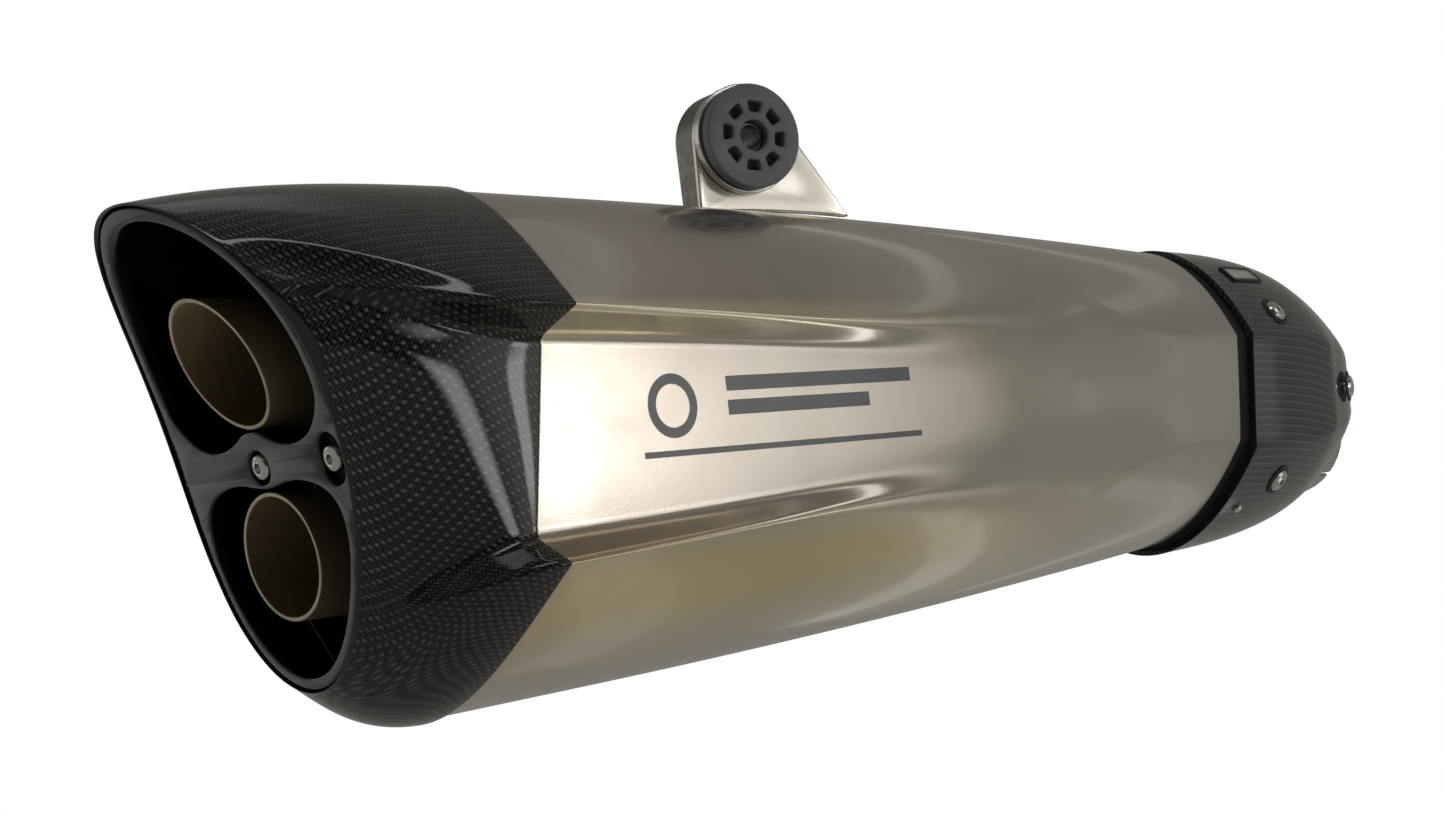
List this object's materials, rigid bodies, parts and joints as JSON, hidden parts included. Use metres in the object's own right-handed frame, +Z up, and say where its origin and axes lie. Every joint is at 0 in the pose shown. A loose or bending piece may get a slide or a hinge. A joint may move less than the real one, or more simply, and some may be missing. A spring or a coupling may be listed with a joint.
{
  "type": "racing exhaust system",
  "caption": "Slip-on silencer with a raked carbon end cap over stacked outlet tubes, a ridged titanium sleeve, a carbon inlet cover and a rubber-damped hanger bracket.",
  "frame": {"origin": "centre of the hanger damper's outer face, where the motorcycle's hanger holds the silencer", "axes": "+X along the silencer from its outlet end to its inlet end, -Y out of the outer side with the name panel, +Z up towards the hanger"},
  "size_m": [0.5845, 0.1372, 0.1929],
  "materials": {
    "titanium": "satin, warm grey titanium",
    "titanium_bright": "bright satin",
    "tube_metal": "heat-tinted, bright cut edge",
    "inner_metal": "plain mill finish",
    "screw_metal": "polished",
    "carbon": "woven carbon fibre under clear lacquer",
    "satin_black": "satin",
    "seam_rubber": "matt",
    "damper_rubber": "satin",
    "wool": "matt fibre",
    "badge": "satin"
  },
  "bodies": {
    "root": {"outer_sleeve": "titanium", "rear_end_plate": "inner_metal", "rear_baffle": "inner_metal", "middle_baffle": "inner_metal", "front_end_plate": "inner_metal", "outlet_tube_upper": "tube_metal", "outlet_tube_lower": "tube_metal", "perforated_core": "inner_metal", "packing_rear": "wool", "packing_front": "wool", "end_cap": "carbon", "outlet_insert": "satin_black", "seam_band": "seam_rubber", "front_cone": "titanium", "inlet_pipe": "titanium", "front_cover": "carbon", "name_badge": "badge", "hanger_bracket": "titanium_bright", "damper_seat": "titanium_bright", "rubber_damper": "damper_rubber", "damper_bush": "inner_metal", "insert_screw_near": "screw_metal", "insert_screw_middle": "screw_metal", "cover_rivet_near": "screw_metal", "cover_screw_near_upper": "screw_metal", "cover_screw_near_lower": "screw_metal", "cover_screw_near_nose": "screw_metal", "cover_rivet_far": "screw_metal", "cover_screw_far_upper": "screw_metal", "cover_screw_far_lower": "screw_metal", "cover_screw_far_nose": "screw_metal"}
  },
  "joints": []
}
